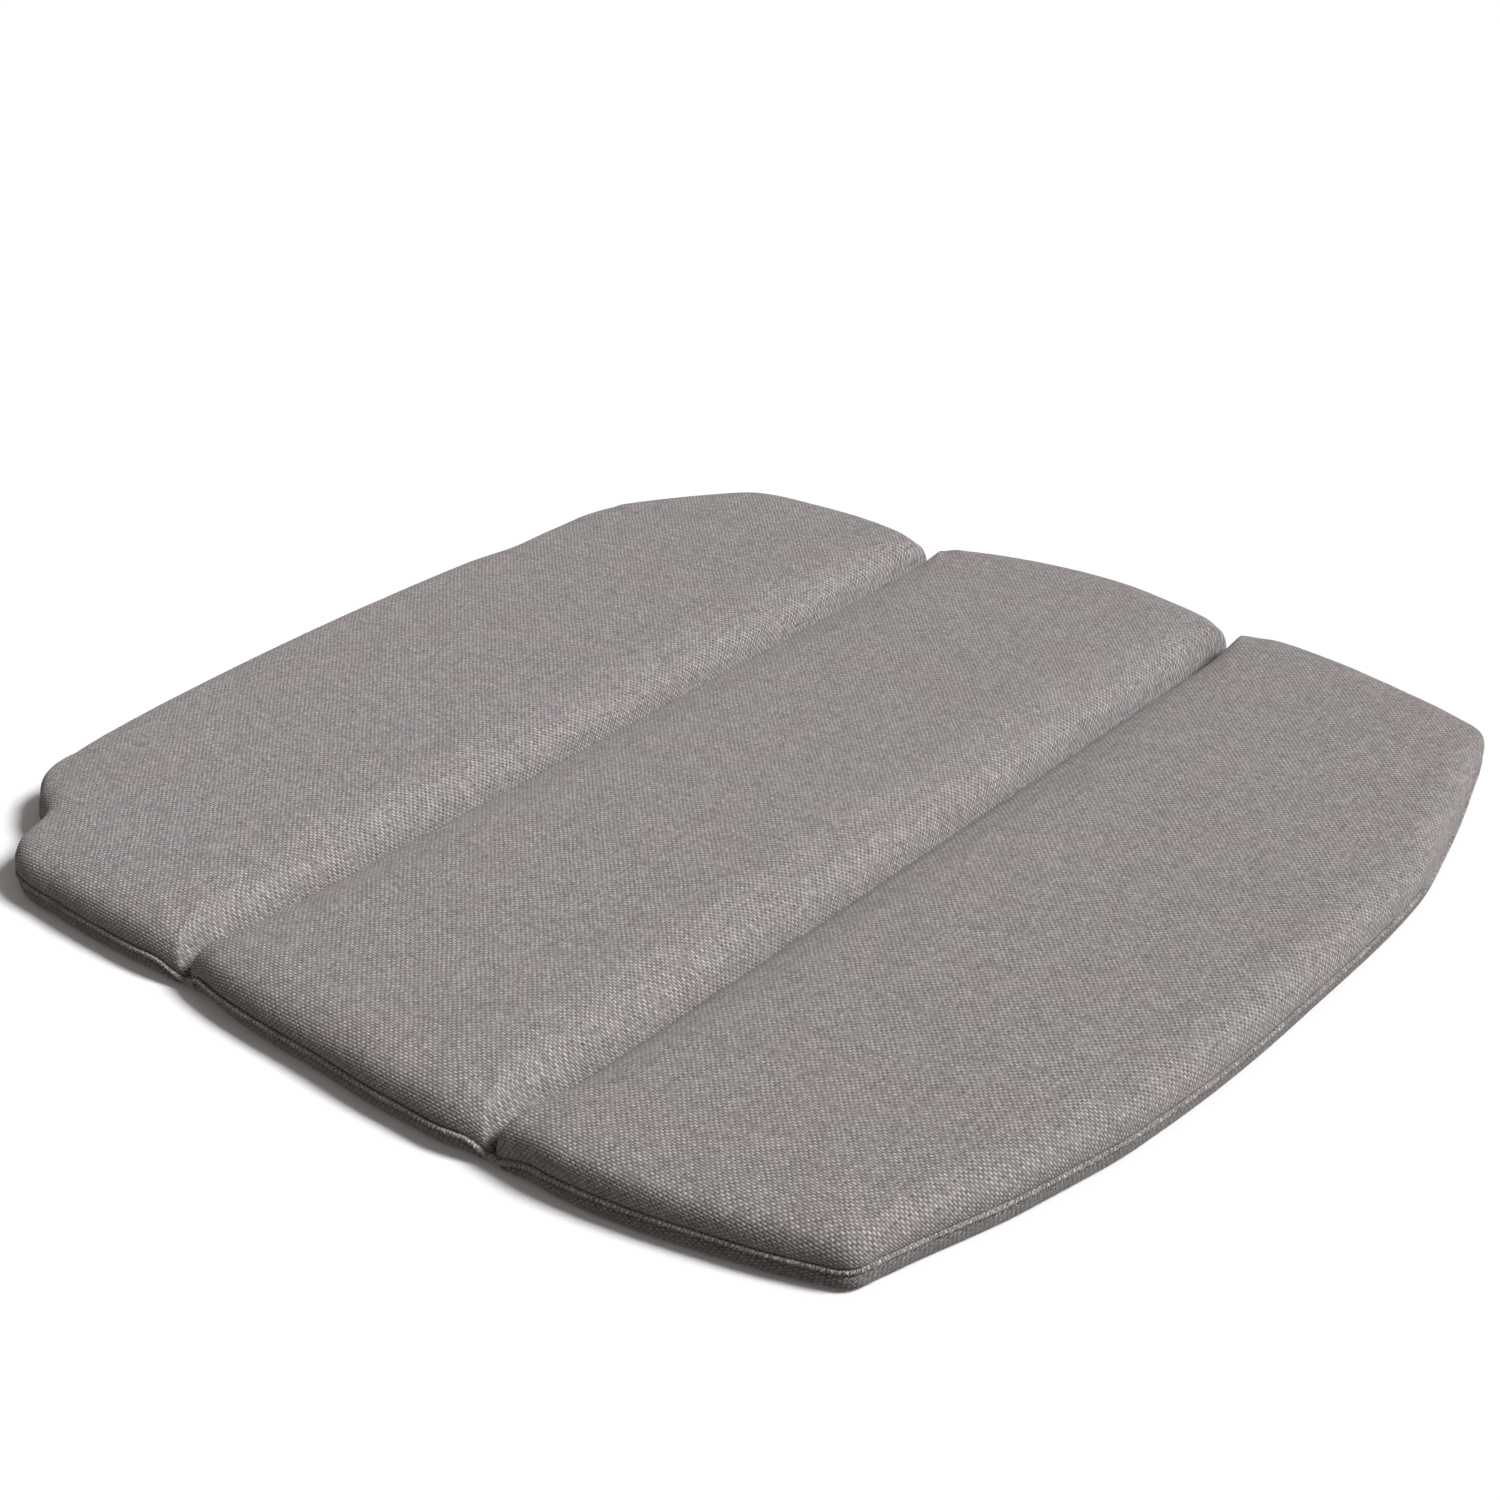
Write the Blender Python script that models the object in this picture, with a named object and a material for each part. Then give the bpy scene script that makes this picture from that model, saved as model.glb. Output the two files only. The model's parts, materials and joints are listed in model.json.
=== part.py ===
"""Three-panel upholstered kneeling pad: foam slabs in a sewn fabric cover that folds along two stitched channels.

Metres, +Z up. The origin is on the floor at the middle of the pad. +X runs along the channels, the bowed
front edge faces -Y, and the rear edge with its two cut-off corners faces +Y.
"""

import math

import bpy

# Whole pad
HALF_WIDTH = 0.250
FRONT_APEX_Y = -0.2485
REAR_APEX_Y = 0.2485
THICKNESS = 0.023

# Sewn lines
FRONT_CHANNEL_Y = -0.079
REAR_CHANNEL_Y = 0.083
HINGE_Z = 0.003            # height of the stitched channels, which are also the fold lines
SEAM_Z = 0.009             # height of the seam that joins the top cover to the bottom cover
SEAM_RADIUS = 0.0009       # the turned-in edges that stand out along the seam
SEAM_INSET = 0.0009
CHANNEL_END = 0.016        # over this distance from a channel the seam dips to the fold line
CHANNEL_CLEARANCE = 0.004  # the edge seams stop this far short of a channel

# Layers
FABRIC = 0.0007
WADDING = 0.0015
GAP = 0.0005               # left between two neighbouring layers
THREAD_RADIUS = 0.00022
EDGE_THREAD_DROP = 0.00155
EDGE_THREAD_INSET = 0.0004
CHANNEL_CORE_RADIUS = 0.00095
CHANNEL_THREAD_OFFSET = 0.0014

# Edge sections, from the seam inwards: (distance in from the edge or the fold line, height)
OUTER_TOP = [(0.0013, 0.0102), (0.0004, 0.0136), (0.0014, 0.0184), (0.0050, 0.0219), (0.0130, THICKNESS)]
CHANNEL_TOP = [(0.0024, 0.0042), (0.0053, 0.0100), (0.0088, 0.0165), (0.0130, 0.0212), (0.0190, THICKNESS)]
OUTER_BOTTOM = [(0.0013, 0.0078), (0.0008, 0.0046), (0.0030, 0.0011), (0.0090, 0.0)]
CHANNEL_BOTTOM = [(0.0024, 0.0018), (0.0042, 0.0011), (0.0070, 0.0005), (0.0120, 0.0)]

# Half outlines on the +X side, each from its channel round to the pad's centre line or the next channel
FRONT_SIDE = [(0.2438, FRONT_CHANNEL_Y), (0.2446, -0.091), (0.2450, -0.106), (0.2418, -0.135),
              (0.2350, -0.168), (0.2282, -0.194), (0.2185, -0.2120), (0.1950, -0.2215), (0.1560, -0.2322),
              (0.1100, -0.2418)]
REAR_SIDE = [(0.2352, REAR_CHANNEL_Y), (0.2366, 0.093), (0.2387, 0.105), (0.2399, 0.127), (0.2382, 0.157),
             (0.2334, 0.185), (0.2190, 0.2025), (0.1841, 0.2305), (0.1708, 0.2365), (0.1433, 0.2402)]
MIDDLE_SIDE = [(0.2438, FRONT_CHANNEL_Y), (0.2454, -0.071), (0.2476, -0.061), (0.2494, -0.040),
               (HALF_WIDTH, -0.015), (0.2465, 0.033), (0.2421, 0.059), (0.2378, 0.073), (0.2352, REAR_CHANNEL_Y)]

# Mesh fineness
STEPS_PER_POINT = 2
BOW_STEPS = 6
CHANNEL_STEPS = 6
ROPE_BEVEL = 2             # bevel resolution of the rolled edges
THREAD_BEVEL = 1
CREASE_ANGLE = math.radians(50)

# Materials: name, colour (linear RGB), roughness
TOP_FABRIC = ("top_fabric", (0.300, 0.274, 0.272), 0.92)
BOTTOM_FABRIC = ("bottom_fabric", (0.270, 0.246, 0.244), 0.94)
SEWING_THREAD = ("sewing_thread", (0.420, 0.390, 0.380), 0.70)
FOAM = ("foam", (0.780, 0.720, 0.520), 0.95)
FIBRE_WADDING = ("fibre_wadding", (0.850, 0.850, 0.830), 1.0)


def clear_scene():
    for obj in list(bpy.data.objects):
        bpy.data.objects.remove(obj, do_unlink=True)


def material(name, colour, roughness):
    mat = bpy.data.materials.new(name)
    mat.use_nodes = True
    shader = mat.node_tree.nodes["Principled BSDF"]
    shader.inputs["Base Color"].default_value = (*colour, 1.0)
    shader.inputs["Roughness"].default_value = roughness
    shader.inputs["Metallic"].default_value = 0.0
    return mat


def make_materials():
    return {
        "top_cover": material(*TOP_FABRIC),
        "bottom_cover": material(*BOTTOM_FABRIC),
        "thread": material(*SEWING_THREAD),
        "foam": material(*FOAM),
        "wadding": material(*FIBRE_WADDING),
    }


def mix(a, b, t):
    return a + (b - a) * t


def catmull_rom(points, steps):
    """A smooth line through the points, with this many steps between neighbours."""
    padded = [points[0], *points, points[-1]]
    line = []
    for p0, p1, p2, p3 in zip(padded, padded[1:], padded[2:], padded[3:]):
        for step in range(steps):
            t = step / steps
            line.append(tuple(
                0.5 * (2 * b + (c - a) * t + (2 * a - 5 * b + 4 * c - d) * t ** 2
                       + (3 * b - a - 3 * c + d) * t ** 3)
                for a, b, c, d in zip(p0, p1, p2, p3)))
    line.append(points[-1])
    return line


def bow(end, apex_y):
    """The arc from a side's last point to the centre line, without its first point."""
    half_chord = end[0]
    rise = abs(apex_y - end[1])
    radius = (half_chord ** 2 + rise ** 2) / (2 * rise)
    towards_centre = math.copysign(1.0, -apex_y)
    centre_y = apex_y + towards_centre * radius
    full_angle = math.asin(half_chord / radius)
    angles = [full_angle * (1 - i / BOW_STEPS) for i in range(1, BOW_STEPS + 1)]
    return [(radius * math.sin(a), centre_y - towards_centre * radius * math.cos(a)) for a in angles]


def straight(start, end, steps):
    """The points between start and end, without either of them."""
    return [(mix(start[0], end[0], i / steps), mix(start[1], end[1], i / steps)) for i in range(1, steps)]


def mirrored(points):
    return [(-x, y) for x, y in reversed(points)]


def end_panel_outline(side, apex_y):
    """The front or the rear panel, which has one channel, anticlockwise from above."""
    half = catmull_rom(side, STEPS_PER_POINT)
    half += bow(half[-1], apex_y)
    channel = straight((-side[0][0], side[0][1]), side[0], CHANNEL_STEPS)
    loop = half + mirrored(half[:-1]) + channel
    return loop if apex_y > 0 else loop[::-1]


def middle_panel_outline():
    """The middle panel, between the two channels, anticlockwise from above."""
    half = catmull_rom(MIDDLE_SIDE, STEPS_PER_POINT)
    rear = straight(half[-1], (-half[-1][0], half[-1][1]), CHANNEL_STEPS)
    front = straight((-half[0][0], half[0][1]), half[0], CHANNEL_STEPS)
    return half + rear + mirrored(half) + front


class Panel:
    """One panel's outline, and how far its edge sections move each of its points."""

    def __init__(self, name, outline, front_channel, rear_channel):
        self.name = name
        self.outline = outline
        self.front_is_channel = front_channel
        self.rear_is_channel = rear_channel
        self.front_y = min(y for _, y in outline)
        self.rear_y = max(y for _, y in outline)

    def channel_distance(self, y):
        near_front = y - self.front_y if self.front_is_channel else math.inf
        near_rear = self.rear_y - y if self.rear_is_channel else math.inf
        return min(near_front, near_rear)

    def channel_share(self, y):
        """1 on a channel, 0 on the outer edge, easing from one to the other at a channel's end."""
        t = min(self.channel_distance(y) / CHANNEL_END, 1.0)
        return 1 - t * t * (3 - 2 * t)

    def ring(self, outer, channel):
        """The outline moved in by one station of the edge sections: (inset, height) for each kind of edge."""
        front_inset = channel[0] if self.front_is_channel else outer[0]
        rear_inset = channel[0] if self.rear_is_channel else outer[0]
        points = []
        for x, y in self.outline:
            along = (y - self.front_y) / (self.rear_y - self.front_y)
            new_y = mix(self.front_y + front_inset, self.rear_y - rear_inset, along)
            new_z = mix(outer[1], channel[1], self.channel_share(y))
            points.append((x * (1 - outer[0] / HALF_WIDTH), new_y, new_z))
        return points


def offset_section(section, distance, is_top):
    """An edge section moved into the pad by distance, square to its own line, which ends level."""
    moved = []
    for i, (inset, height) in enumerate(section):
        before = section[max(i - 1, 0)]
        after = section[min(i + 1, len(section) - 1)]
        is_last = i == len(section) - 1
        run = after[0] - before[0]
        climb = 0.0 if is_last else after[1] - before[1]
        length = math.hypot(run, climb)
        side = 1 if is_top else -1
        moved.append((inset + side * climb / length * distance, height - side * run / length * distance))
    return moved


def add_mesh(name, rings, cap_first, cap_last, mat):
    """Joins rings of points with quads. The rings run so that the faces point out of the pad."""
    count = len(rings[0])
    verts = [p for ring in rings for p in ring]
    faces = []
    for k in range(len(rings) - 1):
        for i in range(count):
            j = (i + 1) % count
            faces.append((k * count + i, k * count + j, (k + 1) * count + j, (k + 1) * count + i))
    if cap_first:
        faces.append(tuple(reversed(range(count))))
    if cap_last:
        faces.append(tuple(range((len(rings) - 1) * count, len(rings) * count)))
    mesh = bpy.data.meshes.new(name)
    mesh.from_pydata(verts, [], faces)
    mesh.materials.append(mat)
    mesh.shade_smooth()
    mesh.set_sharp_from_angle(angle=CREASE_ANGLE)
    obj = bpy.data.objects.new(name, mesh)
    bpy.context.collection.objects.link(obj)
    return obj


def thicken(obj, thickness):
    """Gives an open surface its thickness, towards the inside of the pad."""
    solidify = obj.modifiers.new("thickness", "SOLIDIFY")
    solidify.thickness = thickness
    solidify.offset = -1.0
    return obj


def section_rings(panel, outer, channel):
    return [panel.ring(o, c) for o, c in zip(outer, channel)]


def top_cover(panel, mats):
    """The upper fabric: over the top, round the shoulder and down to the seam."""
    rings = section_rings(panel, OUTER_TOP, CHANNEL_TOP)
    return thicken(add_mesh(f"{panel.name}_top_cover", rings, False, True, mats["top_cover"]), FABRIC)


def bottom_cover(panel, mats):
    """The lower fabric: flat on the floor, and up its low wall to the seam."""
    rings = section_rings(panel, OUTER_BOTTOM, CHANNEL_BOTTOM)[::-1]
    return thicken(add_mesh(f"{panel.name}_bottom_cover", rings, True, False, mats["bottom_cover"]), FABRIC)


def wadding(panel, mats):
    """The fibre layer between the top cover and the foam."""
    depth = FABRIC + GAP
    outer = offset_section(OUTER_TOP, depth, True)[1:]
    channel = offset_section(CHANNEL_TOP, depth, True)[1:]
    rings = section_rings(panel, outer, channel)
    return thicken(add_mesh(f"{panel.name}_wadding", rings, False, True, mats["wadding"]), WADDING)


def foam_slab(panel, mats):
    """The foam slab, which fills the cover under the wadding."""
    top_depth = FABRIC + GAP + WADDING + GAP
    bottom_depth = FABRIC + 2 * GAP
    top = section_rings(panel, offset_section(OUTER_TOP, top_depth, True)[1:],
                        offset_section(CHANNEL_TOP, top_depth, True)[1:])
    bottom = section_rings(panel, offset_section(OUTER_BOTTOM, bottom_depth, False)[1:],
                           offset_section(CHANNEL_BOTTOM, bottom_depth, False)[1:])
    return add_mesh(f"{panel.name}_foam", bottom[::-1] + top, True, True, mats["foam"])


def add_tube(name, points, radius, resolution, mat):
    curve = bpy.data.curves.new(name, "CURVE")
    curve.dimensions = "3D"
    curve.bevel_depth = radius
    curve.bevel_resolution = resolution
    curve.use_fill_caps = True
    spline = curve.splines.new("POLY")
    spline.points.add(len(points) - 1)
    for point, position in zip(spline.points, points):
        point.co = (*position, 1.0)
    spline.use_smooth = True
    curve.materials.append(mat)
    obj = bpy.data.objects.new(name, curve)
    bpy.context.collection.objects.link(obj)
    return obj


def edge_line(panel, inset, drop, clearance):
    """The line of the perimeter seam, as open stretches that stop short of each channel."""
    channel_inset = CHANNEL_TOP[0][0]
    ring = panel.ring((inset, SEAM_Z - drop), (channel_inset, HINGE_Z - drop))
    keep = [panel.channel_distance(y) > clearance for _, y in panel.outline]
    count = len(ring)
    stretches = []
    for start in (i for i in range(count) if keep[i] and not keep[i - 1]):
        stretch = []
        while keep[start % count]:
            stretch.append(ring[start % count])
            start += 1
        stretches.append(stretch)
    return stretches


def edge_seams(panel, mats):
    """The sewn edge that stands out between the two covers, and the thread that shows under it."""
    is_middle = panel.front_is_channel and panel.rear_is_channel
    made = []
    for kind, radius, inset, drop, resolution, slot in (
            ("edge_seam", SEAM_RADIUS, SEAM_INSET, 0.0, ROPE_BEVEL, "top_cover"),
            ("edge_thread", THREAD_RADIUS, EDGE_THREAD_INSET, EDGE_THREAD_DROP, THREAD_BEVEL, "thread")):
        for stretch in edge_line(panel, inset, drop, CHANNEL_CLEARANCE):
            side = ""
            if is_middle:
                side = "right_" if stretch[0][0] > 0 else "left_"
            made.append(add_tube(f"{panel.name}_{side}{kind}", stretch, radius, resolution, mats[slot]))
    return made


def channel_seam(name, y, half_length, mats):
    """The cover's layers squeezed into a line by the stitching, with the needle and bobbin threads."""
    def line(height):
        return [(-half_length, y, height), (half_length, y, height)]

    return [
        add_tube(f"{name}_channel_seam", line(HINGE_Z), CHANNEL_CORE_RADIUS, ROPE_BEVEL, mats["top_cover"]),
        add_tube(f"{name}_channel_needle_thread", line(HINGE_Z + CHANNEL_THREAD_OFFSET),
                 THREAD_RADIUS, THREAD_BEVEL, mats["thread"]),
        add_tube(f"{name}_channel_bobbin_thread", line(HINGE_Z - CHANNEL_THREAD_OFFSET),
                 THREAD_RADIUS, THREAD_BEVEL, mats["thread"]),
    ]


def hinge_empty(name, y):
    empty = bpy.data.objects.new(name, None)
    empty.location = (0.0, y, HINGE_Z)
    bpy.context.collection.objects.link(empty)
    bpy.context.view_layer.update()
    return empty


def hang_on(objects, empty):
    for obj in objects:
        obj.parent = empty
        obj.matrix_parent_inverse = empty.matrix_world.inverted()


def build_panel(panel, mats):
    layers = [build(panel, mats) for build in (top_cover, wadding, foam_slab, bottom_cover)]
    return layers + edge_seams(panel, mats)


def main():
    clear_scene()
    mats = make_materials()
    front = Panel("front", end_panel_outline(FRONT_SIDE, FRONT_APEX_Y), False, True)
    rear = Panel("rear", end_panel_outline(REAR_SIDE, REAR_APEX_Y), True, False)
    middle = Panel("middle", middle_panel_outline(), True, True)
    build_panel(middle, mats)
    channel_seam("front", FRONT_CHANNEL_Y, FRONT_SIDE[0][0] - SEAM_INSET, mats)
    channel_seam("rear", REAR_CHANNEL_Y, REAR_SIDE[0][0] - SEAM_INSET, mats)
    hang_on(build_panel(front, mats), hinge_empty("front_fold_axis", FRONT_CHANNEL_Y))
    hang_on(build_panel(rear, mats), hinge_empty("rear_fold_axis", REAR_CHANNEL_Y))


main()
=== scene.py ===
import json
import math

import bpy
import numpy as np
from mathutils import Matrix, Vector


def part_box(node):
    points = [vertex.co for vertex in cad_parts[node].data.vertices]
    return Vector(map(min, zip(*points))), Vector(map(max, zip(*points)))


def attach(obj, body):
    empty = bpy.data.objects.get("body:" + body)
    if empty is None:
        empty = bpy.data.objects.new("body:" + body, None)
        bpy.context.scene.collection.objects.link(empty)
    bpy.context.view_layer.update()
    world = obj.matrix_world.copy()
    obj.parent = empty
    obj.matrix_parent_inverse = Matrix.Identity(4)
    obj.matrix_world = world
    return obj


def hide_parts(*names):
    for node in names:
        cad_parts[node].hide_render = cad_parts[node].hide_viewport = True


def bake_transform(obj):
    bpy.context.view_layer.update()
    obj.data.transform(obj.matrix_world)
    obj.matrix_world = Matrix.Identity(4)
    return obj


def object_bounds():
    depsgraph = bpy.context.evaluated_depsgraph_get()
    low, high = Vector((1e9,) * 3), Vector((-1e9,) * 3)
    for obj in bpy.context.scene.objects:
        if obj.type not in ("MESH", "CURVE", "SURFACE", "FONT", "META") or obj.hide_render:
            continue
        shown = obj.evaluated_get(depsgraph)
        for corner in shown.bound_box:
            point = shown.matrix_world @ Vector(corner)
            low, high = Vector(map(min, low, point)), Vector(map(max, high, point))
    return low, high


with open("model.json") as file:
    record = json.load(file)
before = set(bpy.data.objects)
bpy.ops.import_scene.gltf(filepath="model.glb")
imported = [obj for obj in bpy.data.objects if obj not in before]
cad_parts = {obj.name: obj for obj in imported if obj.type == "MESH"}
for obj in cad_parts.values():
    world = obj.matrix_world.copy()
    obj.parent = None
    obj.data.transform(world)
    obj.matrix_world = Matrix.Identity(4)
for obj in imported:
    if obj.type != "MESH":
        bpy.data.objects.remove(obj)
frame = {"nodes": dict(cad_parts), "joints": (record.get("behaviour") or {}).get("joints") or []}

CAD_LOW, CAD_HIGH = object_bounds()
JOINTS = {joint["child"]: joint for joint in frame["joints"]}
FRONT_Y = JOINTS["front_panel"]["pos_m"][1]
REAR_Y = JOINTS["rear_panel"]["pos_m"][1]
HINGE_Z = JOINTS["front_panel"]["pos_m"][2]
HALF_WIDTH = (CAD_HIGH.x - CAD_LOW.x) / 2
TOP_Z = CAD_HIGH.z
CAD_SEAM_RADIUS = 0.0009
SEAM_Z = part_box("front_edge_seam")[1].z - CAD_SEAM_RADIUS

# Mesh resolution
ACROSS = 130              # faces along a channel or a bowed edge
DEEP = {"front": 44, "middle": 42, "rear": 44}
GRADING = 0.55            # how much shorter than average the faces are towards a side's ends
SECTION_STEPS = 4         # rings between neighbouring stations of an edge section
OUTLINE_STEPS = 6         # points between neighbouring corners of the CAD outline

# Edge sections, from the seam inwards: (distance in, height)
CRISP_TOP = [(0.0017, SEAM_Z + 0.0008), (0.0006, SEAM_Z + 0.0028), (0.0008, TOP_Z - 0.0066),
             (0.0026, TOP_Z - 0.0027), (0.0066, TOP_Z - 0.0006), (0.0125, TOP_Z), (0.0240, TOP_Z)]
SOFT_TOP = [(0.0017, SEAM_Z + 0.0008), (0.0006, SEAM_Z + 0.0028), (0.0018, TOP_Z - 0.0074),
            (0.0046, TOP_Z - 0.0036), (0.0092, TOP_Z - 0.0012), (0.0155, TOP_Z - 0.0002), (0.0240, TOP_Z)]
CHANNEL_TOP = [(0.0022, 0.0046), (0.0037, 0.0092), (0.0057, TOP_Z - 0.0087),
               (0.0083, TOP_Z - 0.0049), (0.0114, TOP_Z - 0.0021), (0.0156, TOP_Z - 0.0006), (0.0240, TOP_Z)]
OUTER_BOTTOM = [(0.0019, SEAM_Z - 0.0008), (0.0010, SEAM_Z - 0.0026), (0.0018, 0.0026),
                (0.0040, 0.0006), (0.0083, 0.0), (0.0160, 0.0)]
CHANNEL_BOTTOM = [(0.0020, 0.0020), (0.0030, 0.0014), (0.0048, 0.0008),
                  (0.0074, 0.0003), (0.0110, 0.0), (0.0180, 0.0)]
# The seam dips to the fold lines over SEAM_DIP, and the underside lifts off the floor over BOTTOM_DIP
SEAM_DIP = {"front": 0.020, "middle": 0.010, "rear": 0.016}
BOTTOM_DIP = {"front": 0.016, "middle": 0.007, "rear": 0.020}
PINCH_START = 0.200       # from this far out the channels get narrower towards their ends
PINCH = 0.40              # the share of its width that a channel loses at its end
CROWN = 0.0006            # how far the patterns of the panels stand up in the middle
SOFT_SHARE = 0.7          # how much of SOFT_TOP the left shoulders of the middle and rear panels take
SOFT_START = 0.120        # from this far left,
SOFT_REACH = 0.100        # growing over this distance

# How the sewn cover differs from its pattern: (centre x, centre y, reach in x, reach in y, push in x, push in y)
PULLS = [
    (0.000, 0.000, 1.200, 0.070, 0.0036, 0.0),       # the middle panel bulges to the right
    (0.250, 0.000, 0.200, 0.100, 0.0024, 0.0),
    (-0.240, 0.085, 0.120, 0.045, -0.0030, 0.0),     # the left ends of the channels stand out
    (-0.245, -0.070, 0.080, 0.030, -0.0014, 0.0),
    (0.100, -0.250, 0.100, 0.090, 0.0, -0.0026),     # the bow is fuller to the right of the middle
    (-0.070, -0.250, 0.120, 0.060, 0.0, -0.0010),
    (-0.200, -0.225, 0.050, 0.030, 0.0, 0.0016),
    (-0.211, 0.208, 0.022, 0.022, 0.0048, -0.0048),  # the left cut-off corner is drawn in between its ends
    (-0.184, 0.230, 0.016, 0.016, -0.0020, 0.0020),
    (-0.237, 0.180, 0.022, 0.022, -0.0016, 0.0),
    (-0.220, -0.213, 0.014, 0.014, -0.0015, -0.0015),  # the front corners are drawn out a little
    (0.220, -0.213, 0.014, 0.014, 0.0015, -0.0005),
    (0.101, 0.240, 0.030, 0.030, 0.0, -0.0018),      # the rear edge waves a little
    (0.152, 0.240, 0.026, 0.030, 0.0, 0.0018),
]

# Sewing
WELT_RADIUS = 0.0010
WELT_INSET = 0.0009
WELT_SIDES = 10
SEAM_END_Z = 0.0040       # the perimeter seam's height where it crosses a channel
SEAM_BREAK = 0.0040       # the welt beyond this distance from a fold line belongs to the panel
CROSSING_OVERLAP = 0.0006 # the welt's crossings of the channels run on into the panels' welts
CROSSING_POINTS = 17
STITCH_PITCH = 0.0034
STITCH_RADIUS = 0.00030
STITCH_HOLE = 0.0003      # half the gap between two stitches of a row
STITCH_SINK = 0.0004      # how deep the rows lie in the folded band
EDGE_STITCH_PITCH = 0.0017
EDGE_STITCH_RADIUS = 0.00017
EDGE_STITCH_SLANT = 0.0005
EDGE_STITCH_ANGLES = (-1.1, -0.5, 0.1, 0.7, 1.3)
FOLD_HALF_WIDTH = 0.0032
FOLD_TOP_Z = 0.0042
FOLD_BOTTOM_Z = 0.0017
FOLD_POINTS = 9           # points across one face of the folded band
FOLD_END = 0.0004         # the folded band stops this far inside the welt,
ROW_END = 0.001           # and the rows of stitches this far inside

# Cloth
YARN = 0.00118            # distance between neighbouring yarns
PUFF_LIMIT = 0.0011       # the most that the simulated cover stands away from its pattern
PUFF_PRESSURE = 3.0
PUFF_FRAMES = 14

# Stage
FLOOR_HALF = 30.0
FLOOR_Z = -0.0002
DOME_RADIUS = 28.0
CAMERA_PLACE = (-0.7410, -0.5954, 0.5367)
CAMERA_HEADING = 0.68325  # radians, from +X towards +Y
CAMERA_PITCH = 0.48914    # radians, below the horizon
CAMERA_LENS = 63.44


MIRROR = np.array([-1, 1])
FAR_AWAY = 9.0
TINY = 1e-9

# Material slots of the cushions and the folded bands
TOP_SLOT = 0
BOTTOM_SLOT = 1
WELT_SLOT = 2


# ---------------------------------------------------------------- outlines

def mix(a, b, t):
    return a + (b - a) * t


def smooth_step(t):
    t = np.clip(t, 0, 1)
    return t * t * (3 - 2 * t)


def catmull_rom(points, steps):
    """A smooth line through the points, with this many steps between neighbours."""
    ends = [points[0], *points, points[-1]]
    line = []
    for p0, p1, p2, p3 in zip(ends, ends[1:], ends[2:], ends[3:]):
        for step in range(steps):
            t = step / steps
            line.append(tuple(
                0.5 * (2 * b + (c - a) * t + (2 * a - 5 * b + 4 * c - d) * t ** 2
                       + (3 * b - a - 3 * c + d) * t ** 3)
                for a, b, c, d in zip(p0, p1, p2, p3)))
    line.append(points[-1])
    return line


def hull(points):
    """The convex outline round the points, anticlockwise, starting at the lowest x."""
    points = sorted(set(points))
    halves = []
    for run in (points, points[::-1]):
        half = []
        for p in run:
            while len(half) > 1 and ((half[-1][0] - half[-2][0]) * (p[1] - half[-2][1])
                                     - (half[-1][1] - half[-2][1]) * (p[0] - half[-2][0])) <= 1e-10:
                half.pop()
            half.append(p)
        halves.append(half[:-1])
    return halves[0] + halves[1]


def resampled(line, count, grading=0.0):
    """The line with count steps, which get shorter towards its ends by the grading."""
    line = np.array(line)
    along = np.r_[0, np.cumsum(np.linalg.norm(np.diff(line, axis=0), axis=1))]
    even = np.linspace(0, 1, count + 1)
    at = along[-1] * (even - grading * np.sin(2 * math.pi * even) / (2 * math.pi))
    return np.stack([np.interp(at, along, line[:, k]) for k in range(line.shape[1])], axis=1)


def panel_hull(name):
    """The panel's outline from its CAD cover, stretched to meet the fold lines."""
    verts = frame["nodes"][f"{name}_top_cover"].data.vertices
    loop = np.array(hull([(round(v.co.x, 6), round(v.co.y, 6)) for v in verts]))
    low = loop[:, 1].min()
    high = loop[:, 1].max()
    new_low = {"front": low, "middle": FRONT_Y, "rear": REAR_Y}[name]
    new_high = {"front": FRONT_Y, "middle": REAR_Y, "rear": high}[name]
    loop[:, 1] = mix(new_low, new_high, (loop[:, 1] - low) / (high - low))
    return loop


def right_half(loop):
    """The outline's points with x above zero, from the lowest y to the highest."""
    return [tuple(p) for p in loop[np.argsort(loop[:, 1])] if p[0] > 0.0005]


def as_sewn(points):
    """The points moved as the sewn cover pulls them out of their pattern."""
    moved = points.copy()
    for x, y, reach_x, reach_y, push_x, push_y in PULLS:
        away = np.hypot((points[:, 0] - x) / reach_x, (points[:, 1] - y) / reach_y)
        near = smooth_step(1 - away)
        moved[:, 0] += push_x * near
        moved[:, 1] += push_y * near
    return moved


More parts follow.
